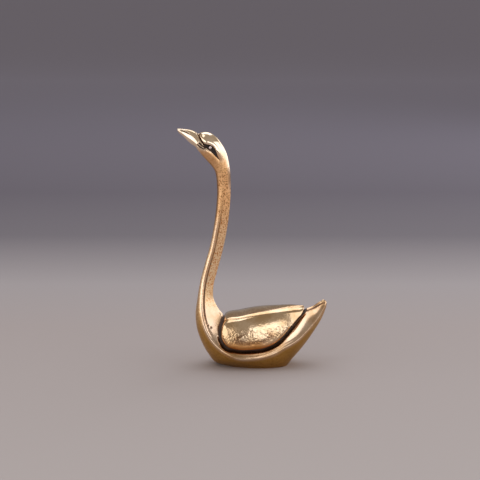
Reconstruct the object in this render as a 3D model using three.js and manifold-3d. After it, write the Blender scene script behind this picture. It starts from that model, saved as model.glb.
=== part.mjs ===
// A small brass swan that stands on its own flat foot: a hull with breast and tail, an S-shaped neck, a head
// with a separate bill and bead eyes, and two wings that clamp a tongue on the back, held by cross pins.
// Millimetres, +Z up. The bill points along -X and the tail along +X. The bird is the same on both sides of
// Y = 0, and its left side is at -Y. The origin is on the floor, midway between bill tip and tail tip.
import * as THREE from 'three';
import { LoftGeometry } from 'three/addons/geometries/LoftGeometry.js';
import { mergeVertices } from 'three/addons/utils/BufferGeometryUtils.js';
import Module from 'manifold-3d';

// Fits
const JOINT_GAP = 0.3;
const PIN_CLEARANCE = 0.12;

// Main places: the tail tip, the neck's root, and the head's seat, which carries head, bill and eyes
const TAIL_TIP_X = 18.65;
const NECK_ROOT_Z = 17;
const HEAD_X = -7.5;
const HEAD_Z = 50;

// Greatest widths across the bird
const BODY_WIDTH = 15;
const NECK_WIDTH = 3.3;
const HEAD_WIDTH = 4.5;
const BILL_WIDTH = 3.7;

// Stations along the bird, as front x, front z, back x, back z, half-width, and where along the line from
// front to back the widest point, the chine, is. The front line is keel, breast and throat, the back line is
// back, nape and crown. The keel dips below the floor, and the flat foot is cut there. Head and bill are
// measured from the head's seat, and the neck's heights are shares of its rise.
const bodyHalf = (share) => (share * BODY_WIDTH) / 2;
const neckHalf = (share) => (share * NECK_WIDTH) / 2;
const headHalf = (share) => (share * HEAD_WIDTH) / 2;
const billHalf = (share) => (share * BILL_WIDTH) / 2;
const neckZ = (share) => THREE.MathUtils.lerp(NECK_ROOT_Z, HEAD_Z, share);
const HULL_STATIONS = [
  [TAIL_TIP_X, 15.65, TAIL_TIP_X - 0.13, 16.0, bodyHalf(0.016), 0.4],
  [TAIL_TIP_X - 0.07, 15.1, TAIL_TIP_X - 0.5, 16.3, bodyHalf(0.073), 0.36],
  [TAIL_TIP_X - 0.4, 13.9, TAIL_TIP_X - 1.5, 16.0, bodyHalf(0.167), 0.3],
  [TAIL_TIP_X - 1.35, 11.6, TAIL_TIP_X - 3.45, 14.95, bodyHalf(0.3), 0.28],
  [15.1, 8.0, 12.4, 13.8, bodyHalf(0.49), 0.27],
  [12.6, 4.5, 8.8, 11.3, bodyHalf(0.69), 0.3],
  [10.0, 1.4, 5.5, 9.2, bodyHalf(0.84), 0.47],
  [8.0, -0.9, 3.6, 8.4, bodyHalf(0.92), 0.54],
  [4.2, -1.7, 2.0, 7.8, bodyHalf(0.98), 0.51],
  [-1.0, -1.2, 0.5, 7.5, bodyHalf(1), 0.47],
  [-5.8, -0.2, -0.5, 7.8, bodyHalf(0.99), 0.41],
  [-9.2, 0.55, -1.0, 8.1, bodyHalf(0.95), 0.44],
  [-11.4, 3.1, -2.0, 8.9, bodyHalf(0.85), 0.36],
  [-12.9, 5.9, -3.4, 9.8, bodyHalf(0.75), 0.3],
  [-14.0, 9.2, -5.4, 11.2, bodyHalf(0.64), 0.27],
  [-14.35, 12.5, -7.6, 13.0, bodyHalf(0.51), 0.27],
  [-13.9, 16.7, -9.7, 16.5, bodyHalf(0.333), 0.26],
];
const NECK_STATIONS = [
  [-13.2, neckZ(0.12), -9.85, neckZ(0.09), neckHalf(1), 0.24],
  [-12.1, neckZ(0.25), -8.85, neckZ(0.215), neckHalf(0.91), 0.22],
  [-10.7, neckZ(0.4), -7.5, neckZ(0.37), neckHalf(0.89), 0.22],
  [-9.7, neckZ(0.555), -6.45, neckZ(0.527), neckHalf(0.89), 0.22],
  [-9.05, neckZ(0.705), -5.75, neckZ(0.69), neckHalf(0.91), 0.26],
  [-8.85, neckZ(0.85), -5.5, neckZ(0.855), neckHalf(0.94), 0.36],
];
const HEAD_STATIONS = [
  [-1.9, -0.8, 1.75, 0.3, neckHalf(1.03), 0.46],
  [-2.75, 0.5, 1.05, 3.5, headHalf(0.8), 0.5],
  [-3.8, 1.7, -0.1, 5.8, headHalf(0.94), 0.45],
  [-4.8, 2.8, -1.8, 7.85, headHalf(1), 0.36],
  [-5.6, 3.8, -3.7, 8.85, headHalf(0.95), 0.29],
  [-6.3, 4.6, -5.1, 8.75, headHalf(0.88), 0.26],
];
const BILL_STATIONS = [
  [-6.7, 5.25, -5.9, 8.45, billHalf(1), 0.32],
  [-7.45, 5.75, -6.7, 8.95, billHalf(0.84), 0.36],
  [-8.65, 6.75, -8.15, 9.45, billHalf(0.62), 0.36],
  [-9.85, 7.95, -9.8, 9.7, billHalf(0.41), 0.38],
  [-10.65, 8.65, -10.75, 9.72, billHalf(0.28), 0.45],
  [-11.1, 9.05, -11.15, 9.45, billHalf(0.12), 0.5],
];

// Section shape: how far the hull and neck flare towards the chine, how much their backs are pinched, how flat
// the panel behind the chine is, and how flat the bill's sides are
const KEEL_FLARE = THREE.MathUtils.degToRad(65);
const KEEL_PINCH = 1.35;
const PANEL_FLATNESS = 0.55;
const BILL_FLATNESS = 0.4;

// How finely the round shapes are stepped
const SECTION_STEPS = 6;
const STATION_STEPS = 3;
const OUTLINE_STEPS = 56;
const ROUND_STEPS = 4;
const FACE_SHARES = [0.4, 0.75];
const BED_STEPS = 12;
const LEAF_STEPS = 8;
const BAR_STEPS = 20;
const BEAD_STEPS = 6;

// Wings: side outline as x, z from the front of the top edge, under the wing, to its rear tip and back along
// the top, and the spine along the middle of each side face. The width over both is taken at the spine. The
// top is crowned, its edge is rounded, and the side faces curve over the spine and lean inwards. The bed that
// they lie on rises a little above the line from front to rear, with a groove round it.
const WING_FRONT = [-7.0, 12.1];
const WING_REAR = [12.9, 14.5];
const WING_OUTLINE = [
  WING_FRONT, [-7.6, 10.8], [-7.9, 9.0], [-7.6, 7.3], [-6.5, 5.8], [-4.3, 5.1], [-0.3, 5.0], [3.2, 5.45],
  [5.6, 6.4], [8.3, 8.8], [10.8, 11.9], WING_REAR, [11.0, 14.75], [6.0, 14.55], [1.1, 14.05], [-3.0, 13.2],
];
const WING_SPINE = [[-5.4, 8.9], [9.8, 10.8]];
const WING_WIDTH = 13;
const WING_REAR_WIDTH = 5.4;
const WING_WIDEST_X = -2;
const WING_CROWN = 0.45;
const WING_CROWN_FADE = 0.8;
const WING_ROUND = 1.2;
const WING_ROUND_START = THREE.MathUtils.degToRad(12);
const WING_FACE_CURVE = 0.025;
const WING_FACE_LEAN = 0.23;
const BED_RISE = 0.3;
const GROOVE_WIDTH = 1.1;
const GROOVE_DEPTH = 1.6;

// Tongue on the back between the wings, and the cross pins through it
const TONGUE_THICKNESS = 2.4;
const TONGUE_FRONT_X = -5;
const TONGUE_REAR_X = 7.5;
const TONGUE_ROOT_Z = 3;
const TONGUE_DROP = 2.6;
const WING_PIN_DIAMETER = 1.6;
const WING_PIN_BITE = 2;
const FRONT_PIN_X = -2.4;
const REAR_PIN_X = 4.6;
const PIN_BELOW_TOP = 1.9;

// Dowels that carry the neck, the head and the bill
const NECK_DOWEL_DIAMETER = 1.3;
const NECK_DOWEL_BITE = 3;
const HEAD_DOWEL_DIAMETER = 1.1;
const HEAD_DOWEL_BITE = 2.4;
const BILL_PIN_DIAMETER = 0.8;
const BILL_PIN_BITE = 1.5;

// Bill joint: the notch on top, the corner of the mouth and the chin, as x, z from the head's seat
const BILL_NOTCH = [-5.8, 8.4];
const MOUTH_CORNER = [-4.2, 5.1];
const CHIN = [-6.8, 5.5];

// Eyes and the leaf-shaped hollow that each one sits in, from the head's seat
const EYE_DIAMETER = 0.8;
const EYE_PEG_DIAMETER = 0.4;
const EYE_PEG_LENGTH = 0.7;
const EYE_CENTRE = [-3.05, 5.25];
const HOLLOW_FRONT = [-4.9, 6.5];
const HOLLOW_REAR = [-0.6, 2.0];
const HOLLOW_WIDTH = 1.15;
const HOLLOW_BOW = 0.5;
const HOLLOW_DEPTH = 0.8;

const wasm = await Module();
wasm.setup();

// A solid from a closed geometry
function solid(geometry) {
  const shape = new THREE.BufferGeometry().copy(geometry);
  shape.deleteAttribute('normal');
  shape.deleteAttribute('uv');
  const merged = mergeVertices(shape, 1e-4);
  return new wasm.Manifold(new wasm.Mesh({
    numProp: 3,
    vertProperties: Float32Array.from(merged.attributes.position.array),
    triVerts: Uint32Array.from(merged.index.array),
  }));
}

// A mesh from a solid
function piece(name, body, material) {
  const { vertProperties, triVerts } = body.getMesh();
  const geometry = new THREE.BufferGeometry();
  geometry.setAttribute('position', new THREE.BufferAttribute(vertProperties, 3));
  geometry.setIndex(new THREE.BufferAttribute(triVerts, 1));
  geometry.computeVertexNormals();
  const mesh = new THREE.Mesh(geometry, material);
  mesh.name = name;
  return mesh;
}

// Points in the side view, and their place across the bird
const flat = ([x, z]) => new THREE.Vector2(x, z);
const onHead = ([x, z]) => new THREE.Vector2(HEAD_X + x, HEAD_Z + z);
const upright = (point, y) => new THREE.Vector3(point.x, y, point.y);

// A straight-sided block with a side outline, from one y to another
function prism(outline, fromY, toY) {
  const loop = THREE.ShapeUtils.isClockWise(outline) ? [...outline].reverse() : outline;
  const sections = [loop.map((p) => upright(p, toY)), loop.map((p) => upright(p, fromY))];
  return solid(new LoftGeometry(sections, { capStart: true, capEnd: true }));
}

// Everything ahead of a line in the side view, for trimming a small piece
const REACH = 60;
function ahead(point, direction) {
  const side = new THREE.Vector2(-direction.y, direction.x).multiplyScalar(REACH);
  const near = [point.clone().sub(side), point.clone().add(side)];
  const far = near.map((corner) => corner.clone().addScaledVector(direction, REACH));
  return prism([near[0], near[1], far[1], far[0]], -REACH, REACH);
}

// A round bar between two points
function bar(from, to, diameter) {
  const length = from.distanceTo(to);
  const turn = new THREE.Quaternion().setFromUnitVectors(
    new THREE.Vector3(0, 1, 0),
    to.clone().sub(from).normalize(),
  );
  const middle = from.clone().add(to).multiplyScalar(0.5);
  const shape = new THREE.CylinderGeometry(diameter / 2, diameter / 2, length, BAR_STEPS);
  return solid(shape.applyQuaternion(turn).translate(middle.x, middle.y, middle.z));
}

// The bird's skin: closed sections on lines from front to back, from the tail tip to the bill tip
const seated = ([frontX, frontZ, backX, backZ, half, chine]) => [
  HEAD_X + frontX, HEAD_Z + frontZ, HEAD_X + backX, HEAD_Z + backZ, half, chine,
];
const STATIONS = [
  ...HULL_STATIONS,
  ...NECK_STATIONS,
  ...HEAD_STATIONS.map(seated),
  ...BILL_STATIONS.map(seated),
];
const NECK_SEAT = HULL_STATIONS.length;
const HEAD_SEAT = NECK_SEAT + NECK_STATIONS.length;
const BILL_SEAT = HEAD_SEAT + HEAD_STATIONS.length;
const BILL_TIP = STATIONS.length - 1;
const frontPoints = STATIONS.map(([x, z, , , half]) => new THREE.Vector3(x, half, z));
const backPoints = STATIONS.map(([, , x, z, , chine]) => new THREE.Vector3(x, chine, z));
const frontLine = new THREE.CatmullRomCurve3(frontPoints);
const backLine = new THREE.CatmullRomCurve3(backPoints);

// The front line carries the half-width as its y, and the back line the place of the chine
function section(station) {
  const front = frontLine.getPoint(station / BILL_TIP);
  const back = backLine.getPoint(station / BILL_TIP);
  const half = front.y;
  const chine = back.y;
  const keel = 1 - THREE.MathUtils.clamp(station - HEAD_SEAT + 1, 0, 1);
  const flare = THREE.MathUtils.lerp(Math.PI / 2, KEEL_FLARE, keel);
  const fullness = 1 - BILL_FLATNESS * THREE.MathUtils.clamp(station - BILL_SEAT + 1, 0, 1);
  const pinch = fullness + (KEEL_PINCH - 1) * keel;
  const place = (share, y) => front.clone().lerp(back, share).setY(y);
  const side = [];
  for (let i = 0; i <= SECTION_STEPS; i += 1) {
    const angle = (flare * i) / SECTION_STEPS;
    const share = (chine * (1 - Math.cos(angle))) / (1 - Math.cos(flare));
    side.push([share, half * (Math.sin(angle) / Math.sin(flare)) ** fullness]);
  }
  for (let i = 1; i < SECTION_STEPS; i += 1) {
    const angle = (Math.PI * i) / SECTION_STEPS / 2;
    const up = Math.sin(angle);
    const out = THREE.MathUtils.lerp(Math.cos(angle) ** pinch, 1 - up, PANEL_FLATNESS * keel);
    side.push([chine + (1 - chine) * up, half * out]);
  }
  const mirrored = side.slice(1).reverse();
  return [
    ...side.map(([share, y]) => place(share, -y)),
    place(1, 0),
    ...mirrored.map(([share, y]) => place(share, y)),
  ];
}

function middle(station) {
  const front = frontLine.getPoint(station / BILL_TIP);
  const back = backLine.getPoint(station / BILL_TIP);
  return front.add(back).multiplyScalar(0.5).setY(0);
}

// The direction of the bird's middle line at a station, towards the bill, and a station a little further on
const NUDGE = 0.01;
const heading = (station) => middle(station + NUDGE).sub(middle(station - NUDGE));
const further = (station, distance) => station + (distance * 2 * NUDGE) / heading(station).length();

function skin(from, to) {
  const steps = Math.round((to - from) * STATION_STEPS);
  const sections = [];
  for (let i = 0; i <= steps; i += 1) {
    sections.push(section(from + ((to - from) * i) / steps));
  }
  return solid(new LoftGeometry(sections, { capStart: true, capEnd: true }));
}

// A dowel across a joint between two stretches of the skin, and the hole for it
function dowel(station, diameter, bite, slack) {
  const along = heading(station).normalize();
  const centre = middle(station);
  const reach = bite + slack;
  return bar(
    centre.clone().addScaledVector(along, -reach),
    centre.clone().addScaledVector(along, reach),
    diameter + 2 * slack,
  );
}

// The wings' side outline, grown by a margin
const outlineCurve = new THREE.CatmullRomCurve3(WING_OUTLINE.map((p) => upright(flat(p), 0)), true);
const [wingFrontX, wingFrontZ] = WING_FRONT;
const [wingRearX, wingRearZ] = WING_REAR;
const wingTop = (x) => THREE.MathUtils.mapLinear(x, wingFrontX, wingRearX, wingFrontZ, wingRearZ);
function outline(grow) {
  const points = [];
  for (let i = 0; i < OUTLINE_STEPS; i += 1) {
    const point = outlineCurve.getPointAt(i / OUTLINE_STEPS);
    const along = outlineCurve.getTangentAt(i / OUTLINE_STEPS);
    points.push(new THREE.Vector2(point.x + along.z * grow, point.z - along.x * grow));
  }
  return points;
}

const wingHalf = (x) => {
  const taper = ((x - WING_WIDEST_X) / (wingRearX - WING_WIDEST_X)) ** 2;
  return WING_WIDTH / 2 - (taper * (WING_WIDTH - WING_REAR_WIDTH)) / 2;
};

// Distance of the wings' side face from the middle of the bird
const [spineFront, spineRear] = WING_SPINE.map(flat);
const wingSpine = new THREE.Line3(upright(spineFront, 0), upright(spineRear, 0));
function wingFace(point) {
  const x = THREE.MathUtils.clamp(point.x, spineFront.x, spineRear.x);
  const above = point.z - THREE.MathUtils.mapLinear(x, spineFront.x, spineRear.x, spineFront.y, spineRear.y);
  return wingHalf(point.x) - WING_FACE_CURVE * above ** 2 - WING_FACE_LEAN * above;
}

// The pair of wings as one cushion, grown by a margin: loops of the outline run across the crowned top, round
// the edge over into the side faces and close in on the middle of each face
function cushion(grow) {
  const rim = outline(grow).map((p) => upright(p, 0));
  const centre = rim.reduce((sum, p) => sum.add(p), new THREE.Vector3()).divideScalar(rim.length);
  const loop = (across, angle, size) => rim.map((p) => {
    const foot = wingSpine.closestPointToPoint(p, true, new THREE.Vector3());
    const round = WING_ROUND * (Math.cos(WING_ROUND_START) - Math.cos(angle));
    const inset = Math.min(round, 0.8 * p.distanceTo(foot));
    const moved = p.clone().addScaledVector(foot.sub(p).normalize(), inset).lerp(centre, 1 - size);
    const half = wingFace(moved) - WING_ROUND * (1 - Math.sin(angle)) + grow;
    const onTop = THREE.MathUtils.smoothstep(p.z - wingTop(p.x), -WING_CROWN_FADE, 0);
    moved.z += WING_CROWN * onTop * (1 - across ** 2);
    return moved.setY(across * half);
  });
  const turns = Array.from({ length: ROUND_STEPS + 1 }, (_, i) => (
    THREE.MathUtils.lerp(Math.PI / 2, WING_ROUND_START, i / ROUND_STEPS)
  ));
  const side = (sign) => [
    ...FACE_SHARES.map((share) => loop(sign, Math.PI / 2, share)),
    ...turns.map((angle) => loop(sign, angle, 1)),
    loop(sign / 2, WING_ROUND_START, 1),
  ];
  const sections = [...side(1), loop(0, WING_ROUND_START, 1), ...side(-1).reverse()];
  return solid(new LoftGeometry(sections, { capStart: true, capEnd: true }));
}

// Bed under the wings: it fills the groove to its floor
function bed() {
  const overhang = 4 * GROOVE_WIDTH;
  const sections = [];
  for (let i = 0; i <= BED_STEPS; i += 1) {
    const share = i / BED_STEPS;
    const x = THREE.MathUtils.lerp(wingFrontX - overhang, wingRearX + overhang, share);
    const half = wingHalf(THREE.MathUtils.clamp(x, wingFrontX, wingRearX)) - GROOVE_DEPTH;
    const top = wingTop(x) + BED_RISE;
    sections.push([
      new THREE.Vector3(x, half, -REACH),
      new THREE.Vector3(x, half, top),
      new THREE.Vector3(x, -half, top),
      new THREE.Vector3(x, -half, -REACH),
    ]);
  }
  return solid(new LoftGeometry(sections, { capStart: true, capEnd: true }));
}

// Tongue on the back, grown by a margin on its ends, top and sides
function tongue(grow) {
  const fromX = TONGUE_FRONT_X - grow;
  const toX = TONGUE_REAR_X + grow;
  const corners = [
    new THREE.Vector2(fromX, TONGUE_ROOT_Z),
    new THREE.Vector2(toX, TONGUE_ROOT_Z),
    new THREE.Vector2(toX, wingTop(toX) - TONGUE_DROP + grow),
    new THREE.Vector2(fromX, wingTop(fromX) - TONGUE_DROP + grow),
  ];
  return prism(corners, -TONGUE_THICKNESS / 2 - grow, TONGUE_THICKNESS / 2 + grow);
}

// Cross pin through the tongue into both wings, and the hole for it
function wingPin(x, slack) {
  const z = wingTop(x) - TONGUE_DROP - PIN_BELOW_TOP;
  const reach = TONGUE_THICKNESS / 2 + JOINT_GAP + WING_PIN_BITE + slack;
  return bar(new THREE.Vector3(x, -reach, z), new THREE.Vector3(x, reach, z), WING_PIN_DIAMETER + 2 * slack);
}

// Hull: skin from the tail to the neck seat, foot cut flat on the floor, the wings' bed and groove cut in,
// and the tongue standing on the bed
const hull = skin(0, further(NECK_SEAT, -JOINT_GAP / 2))
  .subtract(ahead(new THREE.Vector2(0, 0), new THREE.Vector2(0, -1)))
  .subtract(cushion(JOINT_GAP))
  .subtract(prism(outline(GROOVE_WIDTH), -REACH, REACH).subtract(bed()))
  .add(tongue(0))
  .subtract(wingPin(FRONT_PIN_X, PIN_CLEARANCE))
  .subtract(wingPin(REAR_PIN_X, PIN_CLEARANCE))
  .subtract(dowel(NECK_SEAT, NECK_DOWEL_DIAMETER, NECK_DOWEL_BITE, PIN_CLEARANCE));

// Wings: the two halves of the cushion, each with a rebate for the tongue and blind holes for the pins
const wings = cushion(0)
  .subtract(tongue(JOINT_GAP))
  .subtract(wingPin(FRONT_PIN_X, PIN_CLEARANCE))
  .subtract(wingPin(REAR_PIN_X, PIN_CLEARANCE));
const seam = JOINT_GAP / 2;
const sideCorners = [[-REACH, -REACH], [REACH, -REACH], [REACH, REACH], [-REACH, REACH]].map(flat);
const leftWing = wings.intersect(prism(sideCorners, -REACH, -seam));
const rightWing = wings.intersect(prism(sideCorners, seam, REACH));

// Neck, with a dowel hole in each end
const neck = skin(further(NECK_SEAT, JOINT_GAP / 2), further(HEAD_SEAT, -JOINT_GAP / 2))
  .subtract(dowel(NECK_SEAT, NECK_DOWEL_DIAMETER, NECK_DOWEL_BITE, PIN_CLEARANCE))
  .subtract(dowel(HEAD_SEAT, HEAD_DOWEL_DIAMETER, HEAD_DOWEL_BITE, PIN_CLEARANCE));

// Head and bill: one skin, parted behind the bill from the notch to the mouth corner and on to the chin
const notch = onHead(BILL_NOTCH);
const corner = onHead(MOUTH_CORNER);
const chin = onHead(CHIN);
const normalTo = (from, to) => new THREE.Vector2(from.y - to.y, to.x - from.x).normalize();
function billZone(shift) {
  const forward = normalTo(corner, notch);
  const upward = normalTo(chin, corner);
  const behind = ahead(notch.clone().addScaledVector(forward, shift), forward);
  return behind.intersect(ahead(corner.clone().addScaledVector(upward, shift), upward));
}

function billPin(slack) {
  const centre = upright(notch.clone().add(corner).multiplyScalar(0.5), 0);
  const along = middle(BILL_TIP).sub(middle(BILL_SEAT)).normalize();
  const reach = BILL_PIN_BITE + slack;
  return bar(
    centre.clone().addScaledVector(along, -reach),
    centre.clone().addScaledVector(along, reach),
    BILL_PIN_DIAMETER + 2 * slack,
  );
}

// Leaf-shaped hollow round each eye, and the hole for the eye's peg in its floor
const hollowFloor = HEAD_WIDTH / 2 - HOLLOW_DEPTH;
function hollow() {
  const front = onHead(HOLLOW_FRONT);
  const rear = onHead(HOLLOW_REAR);
  const across = normalTo(front, rear);
  const halfway = front.clone().add(rear).multiplyScalar(0.5);
  const edge = (sign) => new THREE.QuadraticBezierCurve(
    front,
    halfway.clone().addScaledVector(across, 2 * HOLLOW_BOW + sign * HOLLOW_WIDTH),
    rear,
  ).getPoints(LEAF_STEPS);
  const leaf = [...edge(1), ...edge(-1).reverse().slice(1, -1)];
  return prism(leaf, hollowFloor, HEAD_WIDTH).add(prism(leaf, -HEAD_WIDTH, -hollowFloor));
}

const eyePlace = upright(onHead(EYE_CENTRE), hollowFloor + EYE_DIAMETER / 2 + PIN_CLEARANCE);
function eyeHole(sign) {
  const inner = eyePlace.clone().setY(sign * (hollowFloor - EYE_PEG_LENGTH));
  const outer = eyePlace.clone().setY(sign * HEAD_WIDTH);
  return bar(inner, outer, EYE_PEG_DIAMETER + 2 * PIN_CLEARANCE);
}

const headSkin = skin(further(HEAD_SEAT, JOINT_GAP / 2), BILL_TIP);
const bill = headSkin.intersect(billZone(JOINT_GAP / 2)).subtract(billPin(PIN_CLEARANCE));
const head = headSkin.subtract(billZone(-JOINT_GAP / 2))
  .subtract(hollow())
  .subtract(eyeHole(1))
  .subtract(eyeHole(-1))
  .subtract(billPin(PIN_CLEARANCE))
  .subtract(dowel(HEAD_SEAT, HEAD_DOWEL_DIAMETER, HEAD_DOWEL_BITE, PIN_CLEARANCE));

// Eye: a turned bead on a peg, with its outer end along +Y
function eye(name, sign) {
  const radius = EYE_DIAMETER / 2;
  const start = Math.asin(EYE_PEG_DIAMETER / EYE_DIAMETER);
  const profile = [new THREE.Vector2(0, -radius - EYE_PEG_LENGTH)];
  profile.push(new THREE.Vector2(EYE_PEG_DIAMETER / 2, -radius - EYE_PEG_LENGTH));
  for (let i = 0; i < BEAD_STEPS; i += 1) {
    const angle = THREE.MathUtils.lerp(start, Math.PI, i / BEAD_STEPS);
    profile.push(new THREE.Vector2(radius * Math.sin(angle), -radius * Math.cos(angle)));
  }
  profile.push(new THREE.Vector2(0, radius));
  const mesh = new THREE.Mesh(new THREE.LatheGeometry(profile, 2 * BEAD_STEPS), eyeBrass);
  mesh.name = name;
  mesh.position.copy(eyePlace).setY(sign * eyePlace.y);
  mesh.rotation.x = sign > 0 ? 0 : Math.PI;
  return mesh;
}

const polishedBrass = new THREE.MeshStandardMaterial({ color: 0xa8834f, roughness: 0.3, metalness: 1 });
const castBrass = new THREE.MeshStandardMaterial({ color: 0xa9763c, roughness: 0.55, metalness: 1 });
const eyeBrass = new THREE.MeshStandardMaterial({ color: 0x4a3324, roughness: 0.25, metalness: 1 });
const drawnBrass = new THREE.MeshStandardMaterial({ color: 0xb89552, roughness: 0.4, metalness: 1 });

const swan = new THREE.Group();
swan.add(
  piece('hull', hull, polishedBrass),
  piece('left_wing', leftWing, polishedBrass),
  piece('right_wing', rightWing, polishedBrass),
  piece('front_wing_pin', wingPin(FRONT_PIN_X, 0), drawnBrass),
  piece('rear_wing_pin', wingPin(REAR_PIN_X, 0), drawnBrass),
  piece('neck', neck, castBrass),
  piece('neck_dowel', dowel(NECK_SEAT, NECK_DOWEL_DIAMETER, NECK_DOWEL_BITE, 0), drawnBrass),
  piece('head', head, polishedBrass),
  piece('head_dowel', dowel(HEAD_SEAT, HEAD_DOWEL_DIAMETER, HEAD_DOWEL_BITE, 0), drawnBrass),
  piece('bill', bill, polishedBrass),
  piece('bill_pin', billPin(0), drawnBrass),
  eye('left_eye', -1),
  eye('right_eye', 1),
);

export default swan;
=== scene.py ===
import math

import bmesh
import bpy
import numpy as np
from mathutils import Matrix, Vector


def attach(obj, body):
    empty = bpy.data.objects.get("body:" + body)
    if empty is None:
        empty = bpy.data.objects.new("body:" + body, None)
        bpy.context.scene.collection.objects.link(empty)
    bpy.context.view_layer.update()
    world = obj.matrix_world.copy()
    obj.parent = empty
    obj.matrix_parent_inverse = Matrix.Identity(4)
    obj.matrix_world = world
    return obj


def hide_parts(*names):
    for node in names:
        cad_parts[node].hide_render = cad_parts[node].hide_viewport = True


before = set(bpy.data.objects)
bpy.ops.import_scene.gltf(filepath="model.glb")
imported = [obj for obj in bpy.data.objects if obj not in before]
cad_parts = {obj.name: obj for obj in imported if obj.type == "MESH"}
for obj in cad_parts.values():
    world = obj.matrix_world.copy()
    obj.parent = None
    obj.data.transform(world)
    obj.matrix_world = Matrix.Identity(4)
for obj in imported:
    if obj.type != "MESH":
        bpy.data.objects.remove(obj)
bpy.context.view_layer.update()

# Hull
# The swan's body without its wings: breast, keel, tail and the root of the neck, cast in brass and rubbed smooth.
# It stands on a flat foot, and a deep groove is cut round the bed that the wings are pinned to.

# The bird's lines from tail tip to bill tip, in millimetres: front x and z, back x and z, half-width, where between
# front and back the widest point, the chine, lies, and how deep a line is engraved behind the chine. Two columns are
# added below: how far the section has a sharp keel, and how far it is flattened. The hull runs on into the neck
# without a step, so the lines of neck, head and bill are kept with it.
HULL_LINES = [
    (18.65, 15.6, 18.5, 16.2, 0.2, 0.4, 0.0),
    (18.6, 15.05, 18.05, 16.5, 0.6, 0.36, 0.0),
    (18.25, 13.9, 17.1, 16.15, 1.25, 0.34, 0.0),
    (17.3, 11.6, 15.2, 14.95, 2.25, 0.33, 0.02),
    (15.1, 8.0, 12.4, 13.8, 3.68, 0.34, 0.02),
    (12.6, 4.5, 8.8, 11.3, 5.18, 0.4, 0.03),
    (10.0, 1.4, 5.5, 9.2, 6.3, 0.53, 0.05),
    (8.0, -0.9, 3.6, 8.4, 6.9, 0.58, 0.08),
    (4.2, -1.7, 2.0, 7.8, 7.35, 0.56, 0.08),
    (-1.0, -1.2, 0.5, 7.5, 7.47, 0.49, 0.08),
    (-5.8, -0.2, -0.5, 7.8, 7.42, 0.41, 0.08),
    (-9.2, 0.55, -1.0, 8.1, 7.13, 0.44, 0.09),
    (-11.4, 3.1, -2.0, 8.9, 6.38, 0.36, 0.1),
    (-12.9, 5.9, -3.4, 9.8, 5.62, 0.3, 0.14),
    (-14.0, 9.2, -5.4, 11.2, 4.8, 0.27, 0.16),
    (-14.35, 12.5, -7.6, 13.0, 3.82, 0.27, 0.16),
    (-13.9, 16.7, -9.7, 16.5, 2.5, 0.26, 0.15),
]
NECK_LINES = [
    (-13.2, 20.96, -9.85, 19.97, 1.66, 0.24, 0.08),
    (-12.1, 25.25, -8.85, 24.1, 1.5, 0.22, 0.06),
    (-10.7, 30.2, -7.5, 29.21, 1.47, 0.22, 0.05),
    (-9.7, 35.32, -6.45, 34.39, 1.47, 0.22, 0.05),
    (-9.05, 40.27, -5.75, 39.77, 1.5, 0.26, 0.02),
    (-8.85, 45.05, -5.5, 45.22, 1.55, 0.36, 0.0),
]
HEAD_LINES = [
    (-9.4, 49.2, -5.75, 50.3, 1.7, 0.46, 0.0),
    (-10.25, 50.5, -6.45, 53.5, 1.8, 0.5, 0.0),
    (-11.3, 51.7, -7.6, 55.8, 2.12, 0.45, 0.0),
    (-12.3, 52.8, -9.3, 57.85, 2.25, 0.36, 0.0),
    (-13.1, 53.8, -11.2, 58.85, 2.14, 0.29, 0.0),
    (-13.8, 54.6, -12.6, 58.75, 1.98, 0.26, 0.0),
]
BILL_LINES = [
    (-14.2, 55.25, -13.4, 58.45, 1.85, 0.32, 0.0),
    (-14.95, 55.75, -14.2, 58.95, 1.56, 0.36, 0.0),
    (-16.15, 56.75, -15.65, 59.45, 1.14, 0.36, 0.0),
    (-17.35, 57.95, -17.3, 59.65, 0.75, 0.38, 0.0),
    (-18.12, 58.58, -18.22, 59.7, 0.56, 0.45, 0.0),
    (-18.52, 59.0, -18.62, 59.68, 0.34, 0.5, 0.0),
]
NECK_SEAT = len(HULL_LINES)
HEAD_SEAT = NECK_SEAT + len(NECK_LINES)
BIRD_LINES = np.array(HULL_LINES + NECK_LINES + HEAD_LINES + BILL_LINES)
KEELED = [1.0] * HEAD_SEAT + [0.0] * (len(BIRD_LINES) - HEAD_SEAT)
FLATTENED = [0.0] * (len(BIRD_LINES) - len(BILL_LINES)) + [1.0] * len(BILL_LINES)
BIRD_LINES = np.column_stack([BIRD_LINES, KEELED, FLATTENED])
BILL_TIP = len(BIRD_LINES) - 1

# The shape of a section: how square the bill is, where the keel's curve stops in degrees, how the panel behind the
# chine is pinched and straightened, and in millimetres the engraved line and the round on the chine
BILL_FLATNESS = 0.4
KEEL_FLARE = 65
KEEL_PINCH = 1.35
PANEL_SLOPE = 0.55
LINE_BEHIND_CHINE = 0.6
LINE_WIDTH = 0.17
CHINE_ROUND = 0.07
CHINE_WIDTH = 0.4

# Where the skin is left sandy and where it is rubbed bright: heights, and distances from the chine or the nape, over
# which each fades in or out, in millimetres
KEEL_SKIN_FADE_STEPS = 3
KEEL_SKIN_END_Z = (53.5, 55.5)
NECK_SKIN_START_Z = (12.5, 19)
NECK_SKIN_END_Z = (51, 55)
BELLY_SATIN = 0.6
BELLY_SKIN_EDGE = (0.3, 1.6)
BELLY_SKIN_Z = (7.5, 4.5)
RUBBED_BEHIND_CHINE = -0.05
RUBBED_WIDTH = 0.45
RUBBED_END_Z = (34, 39)
NAPE_EDGE = (0.2, 0.9)
NAPE_START_Z = (43, 47)
RUBBED_SHARE = 0.8

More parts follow.
